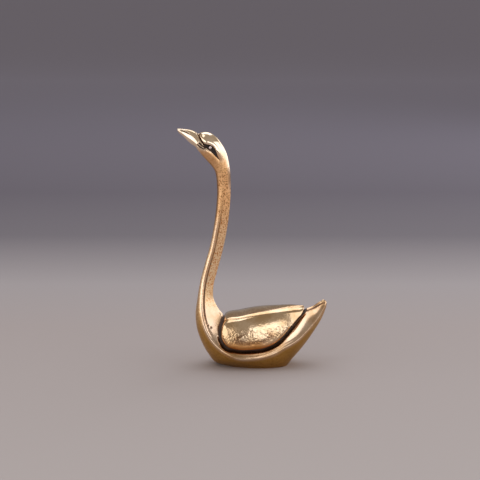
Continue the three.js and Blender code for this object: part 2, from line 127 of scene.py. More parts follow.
# Patina in the engraved line, thinner on the tail and on the low parts that hands rub, and painted shade down the
# front of the throat
LINE_FULL_DEPTH = 0.06
LINE_STAIN = 0.75
TAIL_STAIN_LOSS = 0.45
TAIL_STAIN_X = (6, 12)
LOW_STAIN = 0.25
HIGH_STAIN_GAIN = 0.65
HIGH_STAIN_Z = (8, 15)
THROAT_PAINTED_SHADE = 0.38
THROAT_EDGE = (0.1, 0.6)
THROAT_START_Z = (33, 40)
THROAT_END_Z = (52, 55)

# The wings' side outline, as x and z from the front of the top edge, under the wing, to the rear tip and back
WING_FRONT = (-7.0, 12.1)
WING_REAR = (12.9, 14.5)
WING_FRONT_CURVE = [(-7.6, 10.8), (-7.9, 9.0), (-7.6, 7.3), (-6.5, 5.8)]
WING_UNDERSIDE = [(-4.3, 5.1), (-0.3, 5.0), (3.2, 5.45), (5.6, 6.4), (8.3, 8.8), (10.8, 11.9)]
WING_UPPER = [(11.0, 14.75), (6.0, 14.55), (1.1, 14.05), (-3.0, 13.2)]
WING_OUTLINE = [WING_FRONT, *WING_FRONT_CURVE, *WING_UNDERSIDE, WING_REAR, *WING_UPPER]
WING_OUTLINE_POINTS = 241
WING_WIDTH = 13
WING_REAR_WIDTH = 5.4
WING_WIDEST_X = -2

# The groove round the wings, narrower under the belly, and the scored line and casting pits, in millimetres
GROOVE_WIDTH = 1.1
GROOVE_TAPER = 0.18
GROOVE_TAPER_FRONT_X = (-7.5, -4)
GROOVE_TAPER_REAR_X = (12, 8)
GROOVE_DEPTH = 1.6
GROOVE_WALL = 0.6
GROOVE_STAIN_EDGE = (0.5, 0.9)
BED_RISE = 0.3
TAIL_LINE = [(12.57, 13.39), (15.37, 14.54), (17.32, 15.59), (18.05, 15.85)]
TAIL_LINE_WIDTH = 0.15
PITS = [(-11.25, 10.8), (-10.5, 10.35)]
PIT_WIDTH = 0.2
SCORE_DEPTH = 0.1
SCORE_LIMIT = 0.8
SCORE_STAIN = 0.9
STROKE_POINTS = 24

HULL_ROWS = 300
HULL_FRONT_STEPS = 26
HULL_BACK_STEPS = 68
FOOT_CHAMFER = 0.14


def smooth_rows(rows, first, last, count, places=None):
    """Rows evenly spaced on a smooth curve through the given ones, from one of them to another."""
    rows = np.array(rows, float)
    places = rows if places is None else places
    knots = np.concatenate([[0], np.cumsum(np.linalg.norm(np.diff(places, axis=0), axis=1))])
    slopes = np.gradient(rows, knots, axis=0)
    at = np.linspace(knots[first], knots[last], count)
    i = np.clip(np.searchsorted(knots, at, side="right") - 1, 0, len(rows) - 2)
    step = (knots[i + 1] - knots[i])[:, None]
    t = (at - knots[i])[:, None] / step
    start = (1 + 2 * t) * (1 - t) ** 2 * rows[i] + t * (1 - t) ** 2 * step * slopes[i]
    return start + t**2 * (3 - 2 * t) * rows[i + 1] + t**2 * (t - 1) * step * slopes[i + 1]


def bird_rows(first, last, count):
    """The bird's lines from one station to another, evenly spaced along its middle."""
    middles = (BIRD_LINES[:, 0:2] + BIRD_LINES[:, 2:4]) / 2
    return smooth_rows(BIRD_LINES, first, last, count, middles)


def half_section(row, front_steps, back_steps):
    """One side of the bird's section from front to back: x, out, z, how sandy it is, and its stain and painted
    shade.
    """
    front, back, half, chine, line = row[0:2], row[2:4], row[4], row[5], row[6]
    keel, flat = np.clip(row[7:9], 0, 1)
    depth = np.linalg.norm(back - front)
    fullness = 1 - BILL_FLATNESS * flat
    flare = math.radians(90 + (KEEL_FLARE - 90) * keel)
    a = np.linspace(0, flare, front_steps + 1)
    b = np.linspace(0, math.pi / 2, back_steps + 1)[1:]
    share = np.concatenate([chine * (1 - np.cos(a)) / (1 - math.cos(flare)), chine + (1 - chine) * np.sin(b)])
    behind = (share - chine) * depth
    x, z = (front + share[:, None] * (back - front)).T

    full = np.cos(b) ** (fullness + (KEEL_PINCH - 1) * keel)
    panel = full + PANEL_SLOPE * keel * (1 - np.sin(b) - full)
    out = half * np.concatenate([(np.sin(a) / math.sin(flare)) ** fullness, panel])
    engraved = line * np.exp(-(((behind - LINE_BEHIND_CHINE) / LINE_WIDTH) ** 2)) * (behind > 0)
    rounded = CHINE_ROUND * keel * min(half / 2, 1) * np.exp(-((behind / CHINE_WIDTH) ** 2))
    out = np.maximum(out - engraved - rounded, 0)

    from_edge = np.arange(len(share))
    keel_skin = 1 - ease(front_steps - KEEL_SKIN_FADE_STEPS, front_steps, from_edge)
    keel_skin = keel_skin * (1 - ease(*KEEL_SKIN_END_Z, z))
    neck_skin = ease(*NECK_SKIN_START_Z, z) * (1 - ease(*NECK_SKIN_END_Z, z))
    belly_skin = BELLY_SATIN * (1 - ease(*BELLY_SKIN_EDGE, behind)) * ease(*BELLY_SKIN_Z, z)
    rubbed = np.exp(-(((behind - RUBBED_BEHIND_CHINE) / RUBBED_WIDTH) ** 2)) * (1 - ease(*RUBBED_END_Z, z))
    nape = (1 - ease(*NAPE_EDGE, (1 - share) * depth)) * ease(*NAPE_START_Z, z)
    satin = np.max([keel_skin, neck_skin, belly_skin], axis=0) * (1 - RUBBED_SHARE * np.maximum(rubbed, nape))

    filled = np.clip(engraved / LINE_FULL_DEPTH, 0, 1)
    filled = filled * (LINE_STAIN - TAIL_STAIN_LOSS * ease(*TAIL_STAIN_X, x))
    filled = filled * (LOW_STAIN + HIGH_STAIN_GAIN * ease(*HIGH_STAIN_Z, z))
    # Painted shade: the front of the upper neck and throat is darkened through the patina mask
    throat_shade = THROAT_PAINTED_SHADE * (1 - ease(*THROAT_EDGE, share * depth))
    throat_shade = throat_shade * ease(*THROAT_START_Z, z) * (1 - ease(*THROAT_END_Z, z))
    return np.column_stack([x, out, z, satin, np.maximum(filled, throat_shade)])


def bird_skin(rows, front_steps, back_steps):
    """A flat grid wrapped round the bird's lines, so that its long sides meet under the keel, in millimetres."""
    bm = bmesh.new()
    across = front_steps + back_steps
    bmesh.ops.create_grid(bm, x_segments=len(rows) - 1, y_segments=2 * across, size=1)
    halves = [half_section(row, front_steps, back_steps) for row in rows]
    satin = bm.verts.layers.float.new("satin")
    patina = bm.verts.layers.float.new("patina")
    for vert in bm.verts:
        along = round((vert.co.x + 1) / 2 * (len(rows) - 1))
        place = round((vert.co.y + 1) * across)
        x, out, z, vert[satin], vert[patina] = halves[along][min(place, 2 * across - place)]
        vert.co = (x, -out if place < across else out, z)
    bmesh.ops.remove_doubles(bm, verts=bm.verts[:], dist=1e-3)
    return bm


def beside(path, points):
    """How far side-view points lie to the right of a path, below 0 to its left, and the share of the way along."""
    path = np.array(path, float)
    step = np.diff(path, axis=0)
    offset = points[:, None, :] - path[:-1]
    share = np.clip((offset * step).sum(2) / (step**2).sum(1), 0, 1)
    gap = np.linalg.norm(offset - share[..., None] * step, axis=2)
    nearest = gap.argmin(1)
    each = np.arange(len(points))
    turn = (step[nearest, 1] * offset[each, nearest, 0]) - (step[nearest, 0] * offset[each, nearest, 1])
    return np.sign(turn) * gap[each, nearest], (nearest + share[each, nearest]) / len(step)


def ease(low, high, value):
    """0 up to low, 1 from high on, and a soft S between."""
    t = np.clip((value - low) / (high - low), 0, 1)
    return t * t * (3 - 2 * t)


def wing_half(x):
    """Half the width over both wings at a place along them."""
    taper = ((x - WING_WIDEST_X) / (WING_REAR[0] - WING_WIDEST_X)) ** 2
    return WING_WIDTH / 2 - taper * (WING_WIDTH - WING_REAR_WIDTH) / 2


def wing_top(x):
    """Height of the wings' top edge."""
    share = (x - WING_FRONT[0]) / (WING_REAR[0] - WING_FRONT[0])
    return WING_FRONT[1] + share * (WING_REAR[1] - WING_FRONT[1])


def cap_ends(bm):
    """Closes every open end with a face of its own on a sharp edge, so that the sides still shade smoothly."""
    open_edges = [edge for edge in bm.edges if edge.is_boundary]
    for edge in open_edges:
        edge.smooth = False
    bmesh.ops.holes_fill(bm, edges=open_edges, sides=0)


def finished(bm, name):
    """A piece from a mesh in millimetres, smooth-shaded, at its place in metres."""
    bmesh.ops.recalc_face_normals(bm, faces=bm.faces[:])
    bmesh.ops.scale(bm, vec=(0.001, 0.001, 0.001), verts=bm.verts[:])
    for face in bm.faces:
        face.smooth = True
    mesh = bpy.data.meshes.new(name)
    bm.to_mesh(mesh)
    bm.free()
    piece = bpy.data.objects.new(name, mesh)
    bpy.context.scene.collection.objects.link(piece)
    return piece


closed_outline = WING_OUTLINE[-3:] + WING_OUTLINE + WING_OUTLINE[:4]
wing_outline = smooth_rows(closed_outline, 3, 3 + len(WING_OUTLINE), WING_OUTLINE_POINTS)

bm = bird_skin(bird_rows(0, NECK_SEAT, HULL_ROWS), HULL_FRONT_STEPS, HULL_BACK_STEPS)
patina = bm.verts.layers.float["patina"]
places = np.array([vert.co for vert in bm.verts])
outside, _ = beside(wing_outline, places[:, [0, 2]])
tapered = ease(*GROOVE_TAPER_FRONT_X, places[:, 0]) * ease(*GROOVE_TAPER_REAR_X, places[:, 0])
groove_width = GROOVE_WIDTH - GROOVE_TAPER * tapered
sunk = ease(0, GROOVE_WALL, groove_width - outside)
along_wing = np.clip(places[:, 0], WING_FRONT[0], WING_REAR[0])
bed_half = np.maximum(wing_half(along_wing) - GROOVE_DEPTH, 0)
line_gap, _ = beside(smooth_rows(TAIL_LINE, 0, len(TAIL_LINE) - 1, STROKE_POINTS), places[:, [0, 2]])
scored = np.exp(-((line_gap / TAIL_LINE_WIDTH) ** 2))
for pit in PITS:
    from_pit = np.linalg.norm(places[:, [0, 2]] - pit, axis=1)
    scored = np.maximum(scored, np.exp(-((from_pit / PIT_WIDTH) ** 2)))
shaved = np.minimum(SCORE_DEPTH * scored, SCORE_LIMIT * np.abs(places[:, 1]))
places[:, 1] -= np.sign(places[:, 1]) * shaved
bed_y = np.clip(places[:, 1], -bed_half, bed_half)
bed_z = np.minimum(places[:, 2], wing_top(places[:, 0]) + BED_RISE)
places[:, 1] += sunk * (bed_y - places[:, 1])
places[:, 2] += sunk * (bed_z - places[:, 2])
stained = np.maximum(ease(*GROOVE_STAIN_EDGE, sunk), SCORE_STAIN * scored)
for vert, place, stain in zip(bm.verts, places, stained):
    vert.co = place
    vert[patina] = max(vert[patina], stain)
whole = bm.verts[:] + bm.edges[:] + bm.faces[:]
bmesh.ops.bisect_plane(bm, geom=whole, plane_co=(0, 0, FOOT_CHAMFER), plane_no=(0, 0, -1), clear_outer=True)
cap_ends(bm)
bm.faces.ensure_lookup_table()
foot = [face for face in bm.faces if len(face.verts) > 4 and face.calc_center_median().z < 2 * FOOT_CHAMFER]
bmesh.ops.inset_region(bm, faces=foot, thickness=FOOT_CHAMFER)
for vert in foot[0].verts:
    vert.co.z = 0
hull = finished(bm, "hull_casting")


def linear(code):
    """A hex colour as it is seen, turned to the linear values that shaders use."""
    parts = [int(code[i : i + 2], 16) / 255 for i in (1, 3, 5)]
    return (*[p / 12.92 if p <= 0.04045 else ((p + 0.055) / 1.055) ** 2.4 for p in parts], 1.0)


def add_node(tree, kind, inputs=None, **settings):
    """One node with its settings, and its inputs set to values or linked from the outputs of others."""
    node = tree.nodes.new(kind)
    for name, value in settings.items():
        setattr(node, name, value)
    for socket, value in (inputs or {}).items():
        if isinstance(value, bpy.types.NodeSocket):
            tree.links.new(value, node.inputs[socket])
        else:
            node.inputs[socket].default_value = value
    return node


def blend(tree, share, first, second):
    """A colour between two others, each a hex code or the output of a node."""
    ends = [linear(end) if isinstance(end, str) else end for end in (first, second)]
    return add_node(tree, "ShaderNodeMix", {0: share, 6: ends[0], 7: ends[1]}, data_type="RGBA").outputs[2]


def remap(tree, value, source, target=(0.0, 1.0), **settings):
    """A value moved from one range to another and held at its ends."""
    inputs = {0: value, 1: source[0], 2: source[1], 3: target[0], 4: target[1]}
    return add_node(tree, "ShaderNodeMapRange", inputs, **settings).outputs[0]


# Clouds of tarnish and grains of the mould's sand, in millimetres. The sand of a fine mould is nearer 0.15 mm: it is
# drawn coarser here so that it shows.
CLOUD_MM = 4
GRAIN_MM = 0.33
GRAIN_DEPTH_MM = 0.05
NECK_START_M = (0.009, 0.022)
NECK_END_M = (0.0515, 0.049)
NECK_SHADE_M = (0.026, 0.042)
NECK_DARK_GRAINS = ("#DA8C48", "#A6662E")
NECK_LIGHT_GRAINS = ("#FFE0B4", "#F8C48C")
PATINA_AND_SHADE_BROWN = "#7E4C20"
BROWN_GRIME_AND_SHADE = ("#46362C", "#665246")
SANDY_ROUGHNESS = 0.4
GRIME_ROUGHNESS = 0.6


def aged_brass(name, bright, tarnished, grains, grimes_and_shade, roughness, ripple_mm, ripple_depth_mm):
    """Brass under a brown patina and painted shade: polished and clouded, sandy where left as cast, near-black in
    recesses.
    """
    material = bpy.data.materials.new(name)
    material.use_nodes = True
    tree = material.node_tree
    shader = tree.nodes["Principled BSDF"]
    place = add_node(tree, "ShaderNodeTexCoord").outputs["Object"]
    height = add_node(tree, "ShaderNodeSeparateXYZ", {0: place}).outputs["Z"]
    stained = add_node(tree, "ShaderNodeAttribute", attribute_name="patina").outputs["Fac"]
    satin = add_node(tree, "ShaderNodeAttribute", attribute_name="satin").outputs["Fac"]
    burnished = add_node(tree, "ShaderNodeAttribute", attribute_name="burnished").outputs["Fac"]
    clouds = {"Vector": place, "Scale": 1000 / CLOUD_MM, "Detail": 4.0}
    cloud = add_node(tree, "ShaderNodeTexNoise", clouds).outputs["Fac"]
    sand = {"Vector": place, "Scale": 1000 / GRAIN_MM, "Detail": 3.0}
    grain = add_node(tree, "ShaderNodeTexNoise", sand).outputs["Fac"]
    ripples = {"Vector": place, "Scale": 1000 / ripple_mm, "Detail": 2.0, "Distortion": 0.7}
    ripple = add_node(tree, "ShaderNodeTexNoise", ripples).outputs["Fac"]

    clouded = remap(tree, cloud, (0.35, 0.7), interpolation_type="SMOOTHSTEP")
    polished = blend(tree, clouded, bright, tarnished)
    above_breast = remap(tree, height, NECK_START_M)
    below_head = remap(tree, height, NECK_END_M)
    on_neck = add_node(tree, "ShaderNodeMath", {0: above_breast, 1: below_head}, operation="MINIMUM").outputs[0]
    up_neck = remap(tree, height, NECK_SHADE_M)
    dark_grains = blend(tree, on_neck, grains[0], blend(tree, up_neck, *NECK_DARK_GRAINS))
    light_grains = blend(tree, on_neck, grains[1], blend(tree, up_neck, *NECK_LIGHT_GRAINS))
    speckled = remap(tree, grain, (0.37, 0.51), interpolation_type="SMOOTHSTEP")
    surface = blend(tree, satin, polished, blend(tree, speckled, dark_grains, light_grains))

    # Patina keeps to the low grains first, turns the metal brown, and then covers it with a dull dark crust. The
    # same mask also lays painted shade on the throat, on the tops of the wings and in a band low on their sides.
    patchy = remap(tree, grain, (0.38, 0.62), (1.6, 0.65))
    stain_and_shade_depth = add_node(tree, "ShaderNodeMath", {0: stained, 1: patchy}, operation="POWER").outputs[0]
    browning = remap(tree, stain_and_shade_depth, (0.0, 0.6))
    blackening = remap(tree, stain_and_shade_depth, (0.35, 1.0))
    browned = blend(tree, browning, surface, PATINA_AND_SHADE_BROWN)
    colour = blend(tree, blackening, browned, blend(tree, clouded, *grimes_and_shade))
    metal = remap(tree, blackening, (0.0, 1.0), (1.0, 0.0))
    rough = remap(tree, satin, (0.0, 1.0), (roughness, SANDY_ROUGHNESS))
    dulled = remap(tree, blackening, (0.0, 1.0), (rough, GRIME_ROUGHNESS))

    hammered = add_node(tree, "ShaderNodeMath", {0: 1.0, 1: burnished}, operation="SUBTRACT").outputs[0]
    waves = {"Strength": hammered, "Height": ripple, "Distance": ripple_depth_mm / 1000}
    rippled = add_node(tree, "ShaderNodeBump", waves).outputs[0]
    sandiness = add_node(tree, "ShaderNodeMath", {0: satin, 1: on_neck}, operation="MULTIPLY").outputs[0]
    grit = {"Strength": sandiness, "Height": grain, "Distance": GRAIN_DEPTH_MM / 1000, "Normal": rippled}
    grained = add_node(tree, "ShaderNodeBump", grit).outputs[0]
    tree.links.new(colour, shader.inputs["Base Color"])
    tree.links.new(metal, shader.inputs["Metallic"])
    tree.links.new(dulled, shader.inputs["Roughness"])
    tree.links.new(grained, shader.inputs["Normal"])
    return material


# Rubbed by hand after casting: soft wide highlights, olive-gold satin on the keel, and speckled gold up the neck
hull_brass = aged_brass(
    "rubbed_antique_brass",
    bright="#E9CAAC",
    tarnished="#D2AA82",
    grains=("#AC7D3B", "#C2944E"),
    grimes_and_shade=BROWN_GRIME_AND_SHADE,
    roughness=0.16,
    ripple_mm=1.2,
    ripple_depth_mm=0.012,
)
hull.data.materials.append(hull_brass)
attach(hull, "root")
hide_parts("hull")

# Wings
# A pair of folded wings, brass castings with gently crowned tops and curved sides that lean inwards, polished after
# casting so that the cast ripple still shows. Pins hold them to the hull's bed, and they meet along the middle of
# the back.
WING_ROUND = 1.2
WING_ROUND_START = math.radians(12)
WING_FACE_CURVE = 0.025
WING_FACE_LEAN = 0.23
WING_CROWN = 0.45
WING_SEAM = 0.02
WING_SPINE = np.array([(-5.4, 8.9), (9.8, 10.8)])
DECK_STEPS = 14
ROUND_STEPS = 16
FACE_STEPS = 26
WING_INSET_LIMIT = 0.8
WING_LEAST_HALF = 0.3
RIM_TOP_EDGE = (-0.9, -0.1)

# Where patina stays on a wing, where painted shade darkens its top and a band low on its side, and where it is
# satin or burnished: steps over the edge, heights and distances in millimetres over which each fades
GROOVE_STAIN_STEPS = (DECK_STEPS - 2, DECK_STEPS + 3)
DECK_SHADE_STEPS = (DECK_STEPS - 2, DECK_STEPS + 1)
DECK_PAINTED_SHADE = 0.24
BELLY_BAND_PAINTED_SHADE = 0.4
BELLY_BAND_START = (1.4, 1.8)
BELLY_BAND_END = (2.2, 2.7)
BELLY_BAND_RIM_Z = (8.5, 6.5)
LOW_WING_SATIN_AND_REFLECTION = 0.8
LOW_WING_SATIN_AND_REFLECTION_Z = (8.0, 5.5)
WING_BURNISH = 0.85
WING_BURNISH_EDGE = (2.0, 3.6)

rim = wing_outline[:-1]
rim_centre = rim.mean(0)
rim_top = ease(*RIM_TOP_EDGE, rim[:, 1] - wing_top(rim[:, 0]))
along_spine = WING_SPINE[1] - WING_SPINE[0]
spine_share = np.clip((rim - WING_SPINE[0]) @ along_spine / (along_spine @ along_spine), 0, 1)
inward = WING_SPINE[0] + spine_share[:, None] * along_spine - rim
room = np.linalg.norm(inward, axis=1)[:, None]
inward /= room


def wing_face(points):
    """Distance of a wing's side face from the middle of the bird: it curves over its spine and leans inwards."""
    above = points[:, 1] - np.interp(points[:, 0], WING_SPINE[:, 0], WING_SPINE[:, 1])
    return wing_half(points[:, 0]) - WING_FACE_CURVE * above**2 - WING_FACE_LEAN * above


def wing_loop(step):
    """One closed loop of a wing: x, distance from the middle, z, its patina and painted shade, its satin and how
    burnished it is.
    """
    deck = min(step / DECK_STEPS, 1)
    turn = min(max(step - DECK_STEPS, 0) / ROUND_STEPS, 1)
    angle = WING_ROUND_START + turn * (math.pi / 2 - WING_ROUND_START)
    scale = 1 - max(step - DECK_STEPS - ROUND_STEPS, 0) / FACE_STEPS
    inset = np.minimum(WING_ROUND * (math.cos(WING_ROUND_START) - math.cos(angle)), WING_INSET_LIMIT * room)
    points = rim_centre + scale * (rim + inset * inward - rim_centre)
    y = deck * np.maximum(wing_face(points) - WING_ROUND * (1 - math.sin(angle)), WING_LEAST_HALF)
    raised = WING_CROWN * rim_top * (1 - deck**2)
    x, z = points[:, 0], points[:, 1] + raised
    below_top = wing_top(x) - z
    above_rim = z - rim[:, 1]
    in_groove = (1 - rim_top) * (1 - ease(*GROOVE_STAIN_STEPS, step))
    # Painted shade: the flat top of the wings and a band low on their sides are darkened through the patina mask
    on_deck = rim_top * (1 - ease(*DECK_SHADE_STEPS, step))
    under_belly = ease(*BELLY_BAND_START, above_rim) * (1 - ease(*BELLY_BAND_END, above_rim))
    under_belly = under_belly * ease(*BELLY_BAND_RIM_Z, rim[:, 1])
    patina = np.max([in_groove, DECK_PAINTED_SHADE * on_deck, BELLY_BAND_PAINTED_SHADE * under_belly], axis=0)
    # Painted reflection: low on the side the sandy copper finish also stands for the warm floor reflected there
    satin = LOW_WING_SATIN_AND_REFLECTION * ease(*LOW_WING_SATIN_AND_REFLECTION_Z, z)
    burnished = WING_BURNISH * (1 - ease(*WING_BURNISH_EDGE, below_top))
    return np.column_stack([x, np.maximum(y, WING_SEAM), z, patina, satin, burnished])


def wing(name, side):
    """A wing on one side of the bird: a grid wrapped round the outline, from the seam over the edge to the side."""
    bm = bmesh.new()
    around = len(rim)
    steps = DECK_STEPS + ROUND_STEPS + FACE_STEPS
    bmesh.ops.create_grid(bm, x_segments=around, y_segments=steps, size=1)
    loops = [wing_loop(step) for step in range(steps + 1)]
    patina = bm.verts.layers.float.new("patina")
    satin = bm.verts.layers.float.new("satin")
    burnished = bm.verts.layers.float.new("burnished")
    for vert in bm.verts:
        at = round((vert.co.x + 1) / 2 * around) % around
        step = round((vert.co.y + 1) / 2 * steps)
        x, out, z, vert[patina], vert[satin], vert[burnished] = loops[step][at]
        vert.co = (x, side * out, z)
    bmesh.ops.remove_doubles(bm, verts=bm.verts[:], dist=1e-4)
    cap_ends(bm)
    return finished(bm, name)


# Polished over the cast ripple: bright broken glints on the sides, a smooth clear line along the burnished top, and
# low down a sandy copper that is also a painted warm reflection
wing_brass = aged_brass(
    "polished_antique_brass",
    bright="#E8CAA6",
    tarnished="#CCA678",
    grains=("#CE8438", "#E0994C"),
    grimes_and_shade=BROWN_GRIME_AND_SHADE,
    roughness=0.12,
    ripple_mm=0.75,
    ripple_depth_mm=0.1,
)
for name, node, side in (("left_wing_casting", "left_wing", -1), ("right_wing_casting", "right_wing", 1)):
    piece = wing(name, side)
    piece.data.materials.append(wing_brass)
    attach(piece, "root")
    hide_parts(node)

# Neck
# A long S-shaped neck, cast in brass and left with the grain of the sand mould, with a shallow line up each side.
# A dowel at each end holds it to the hull and the head, and the joints are dressed flush.
NECK_ROWS = 200
NECK_FRONT_STEPS = 24
NECK_BACK_STEPS = 40
bm = bird_skin(bird_rows(NECK_SEAT, HEAD_SEAT, NECK_ROWS), NECK_FRONT_STEPS, NECK_BACK_STEPS)
cap_ends(bm)
neck = finished(bm, "neck_casting")
neck.data.materials.append(hull_brass)
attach(neck, "root")
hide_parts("neck")

# Head and bill
# The head and its bill, polished brass castings that meet in a groove behind the bill and along the jaw. A hollow
# shaped like a leaf is cut round each eye, the mouth is two engraved strokes, and a pin holds the bill.
HEAD_ROWS = 230
HEAD_SIDE_STEPS = 58
BILL_NOTCH = (-13.3, 58.4)
MOUTH_CORNER = (-11.7, 55.1)
CHIN = (-14.3, 55.5)
HOLLOW_FRONT = [(-12.2, 56.1), (-11.5, 55.65), (-10.9, 55.4), (-10.1, 54.9)]
HOLLOW_LINE = [*HOLLOW_FRONT, (-9.45, 54.0), (-8.75, 52.85), (-8.15, 52.0)]
HOLLOW_POINTS = 40
HOLLOW_HALF_WIDTHS = [0.12, 0.42, 0.6, 0.54, 0.36, 0.22, 0.04]
HOLLOW_FLOOR = 1.45
HOLLOW_WALL = 0.4
HOLLOW_STAIN_EDGE = (0.35, 0.8)
HOLLOW_DIP = 0.2
HOLLOW_DIP_WIDTH = 0.55
BILL_GROOVE = [(-13.4, 58.75), (-13.2, 58.1), (-12.9, 57.35), (-12.45, 56.55), (-11.95, 56.0)]
MOUTH_STROKE = [(-13.25, 56.35), (-12.5, 55.75), (-11.7, 55.1)]
JAW_STROKE = [(-13.6, 55.85), (-12.9, 55.3), (-12.1, 54.9)]
BILL_LINE = [(-17.6, 59.32), (-16.6, 58.98), (-15.7, 58.6)]
BILL_GROOVE_DIP = 0.26
BILL_GROOVE_DIP_WIDTH = 0.6

# Each engraved stroke with its half-width and its depth. Strokes stop short of the middle line of the bird.
STROKES = [(BILL_GROOVE, 0.18, 0.26), (MOUTH_STROKE, 0.19, 0.16), (JAW_STROKE, 0.16, 0.14), (BILL_LINE, 0.1, 0.1)]
STROKE_REACH = 3
STROKE_STAIN_EDGE = (0.2, 0.6)
MIDDLE_MARGIN = 0.05

bm = bird_skin(bird_rows(HEAD_SEAT, BILL_TIP, HEAD_ROWS), HEAD_SIDE_STEPS, HEAD_SIDE_STEPS)
bmesh.ops.recalc_face_normals(bm, faces=bm.faces[:])
bm.normal_update()
patina = bm.verts.layers.float["patina"]
places = np.array([vert.co for vert in bm.verts])
normals = np.array([vert.normal for vert in bm.verts])
flat_places = places[:, [0, 2]]
dark = np.zeros(len(places))
for stroke, half_width, depth in STROKES:
    off_middle = np.abs(places[:, 1]) > MIDDLE_MARGIN
    gap, _ = beside(smooth_rows(stroke, 0, len(stroke) - 1, STROKE_POINTS), flat_places)
    cut = np.exp(-((gap / half_width) ** 2)) * off_middle
    cut[np.abs(gap) > STROKE_REACH * half_width] = 0
    places -= normals * (depth * cut)[:, None]
    dark = np.maximum(dark, ease(*STROKE_STAIN_EDGE, cut))
gap, share = beside(smooth_rows(HOLLOW_LINE, 0, len(HOLLOW_LINE) - 1, HOLLOW_POINTS), flat_places)
half_width = np.interp(share, np.linspace(0, 1, len(HOLLOW_HALF_WIDTHS)), HOLLOW_HALF_WIDTHS)
hollow = ease(0, HOLLOW_WALL, half_width - np.abs(gap) + HOLLOW_WALL / 2)
edge = np.maximum(np.abs(gap) - half_width, 0)
groove_gap, _ = beside(smooth_rows(BILL_GROOVE, 0, len(BILL_GROOVE) - 1, STROKE_POINTS), flat_places)
hollow_dip = HOLLOW_DIP * np.exp(-((edge / HOLLOW_DIP_WIDTH) ** 2))
groove_dip = BILL_GROOVE_DIP * np.exp(-((groove_gap / BILL_GROOVE_DIP_WIDTH) ** 2))
off_middle = np.abs(places[:, 1]) > MIDDLE_MARGIN
places -= normals * (np.maximum(hollow_dip, groove_dip) * off_middle)[:, None]
places[:, 1] += hollow * (np.clip(places[:, 1], -HOLLOW_FLOOR, HOLLOW_FLOOR) - places[:, 1])
dark = np.maximum(dark, ease(*HOLLOW_STAIN_EDGE, hollow))
for vert, place, shade in zip(bm.verts, places, dark):
    vert.co = place
    vert[patina] = max(vert[patina], shade)


def seat_plane(start, end):
    """A plane seen edge-on in the side view, through two points, facing towards the bill."""
    along = Vector((end[0] - start[0], 0, end[1] - start[1])).normalized()
    return Vector((start[0], 0, start[1])), Vector((-along.z, 0, along.x))


seat = seat_plane(MOUTH_CORNER, BILL_NOTCH)
jaw = seat_plane(CHIN, MOUTH_CORNER)
bill_bm = bm.copy()
for point, forward in (seat, jaw):
    for half_bm, clear in ((bm, False), (bill_bm, True)):
        whole = half_bm.verts[:] + half_bm.edges[:] + half_bm.faces[:]
        bmesh.ops.bisect_plane(half_bm, geom=whole, plane_co=point, plane_no=forward, clear_inner=clear, dist=1e-5)
ahead = []
for face in bm.faces:
    centre = face.calc_center_median()
    if all((centre - point).dot(forward) > 0 for point, forward in (seat, jaw)):
        ahead.append(face)
bmesh.ops.delete(bm, geom=ahead, context="FACES")
# Polished to a mirror: pale crisp highlights on crown and cheek beside hollows that stay almost black
BLACK_GRIME_AND_SHADE = ("#1B100C", "#2E1E1A")
head_brass = aged_brass(
    "polished_head_brass",
    bright="#FDE6CB",
    tarnished="#F0D3B0",
    grains=("#DCA56C", "#EBB985"),
    grimes_and_shade=BLACK_GRIME_AND_SHADE,
    roughness=0.1,
    ripple_mm=1.2,
    ripple_depth_mm=0.006,
)
for part, name, node in ((bm, "head_casting", "head"), (bill_bm, "bill_casting", "bill")):
    cap_ends(part)
    piece = finished(part, name)
    piece.data.materials.append(head_brass)
    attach(piece, "root")
    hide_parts(node)

# Eyes
# Two turned beads of polished brass, each on a peg that is pressed into the floor of its hollow.
EYE_DIAMETER = 0.8
EYE_PEG_DIAMETER = 0.4
EYE_PEG_LENGTH = 0.6
EYE_CENTRE = (-10.5, 55.2)
EYE_RINGS = 14
EYE_SEGMENTS = 28

# Coloured pale as a painted highlight, so that the bead shows one small cool glint in the dark hollow
bead_painted_glint_brass = aged_brass(
    "bead_brass_painted_glint",
    bright="#EADCDA",
    tarnished="#CDBBB8",
    grains=("#CDBBB8", "#EADCDA"),
    grimes_and_shade=BLACK_GRIME_AND_SHADE,
    roughness=0.15,
    ripple_mm=0.5,
    ripple_depth_mm=0.002,
)
for name, node, side in (("left_eye_bead", "left_eye", -1), ("right_eye_bead", "right_eye", 1)):
    bm = bmesh.new()
    radius = EYE_DIAMETER / 2
    start = math.asin(EYE_PEG_DIAMETER / EYE_DIAMETER)
    profile = [(0, -radius - EYE_PEG_LENGTH), (EYE_PEG_DIAMETER / 2, -radius - EYE_PEG_LENGTH)]
    turns = np.linspace(start, math.pi - 1e-4, EYE_RINGS)
    profile += [(radius * math.sin(a), -radius * math.cos(a)) for a in turns]
    verts = [bm.verts.new((r, 0, z)) for r, z in profile]
    edges = [bm.edges.new(pair) for pair in zip(verts[:-1], verts[1:])]
    line = verts + edges
    middle, axis, full_turn = (0, 0, 0), (0, 0, 1), 2 * math.pi
    bmesh.ops.spin(bm, geom=line, cent=middle, axis=axis, angle=full_turn, steps=EYE_SEGMENTS, use_merge=True)
    bmesh.ops.remove_doubles(bm, verts=bm.verts[:], dist=1e-3)
    bm.verts.layers.float.new("patina")
    for vert in bm.verts:
        out = HOLLOW_FLOOR + radius + vert.co.z
        vert.co = (EYE_CENTRE[0] + vert.co.x, side * out, EYE_CENTRE[1] + vert.co.y)
    piece = finished(bm, name)
    piece.data.materials.append(bead_painted_glint_brass)
    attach(piece, "root")
    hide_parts(node)

# Pins and dowels
# Straight lengths of drawn brass rod that hold the wings, the neck, the head and the bill, hidden in their holes.

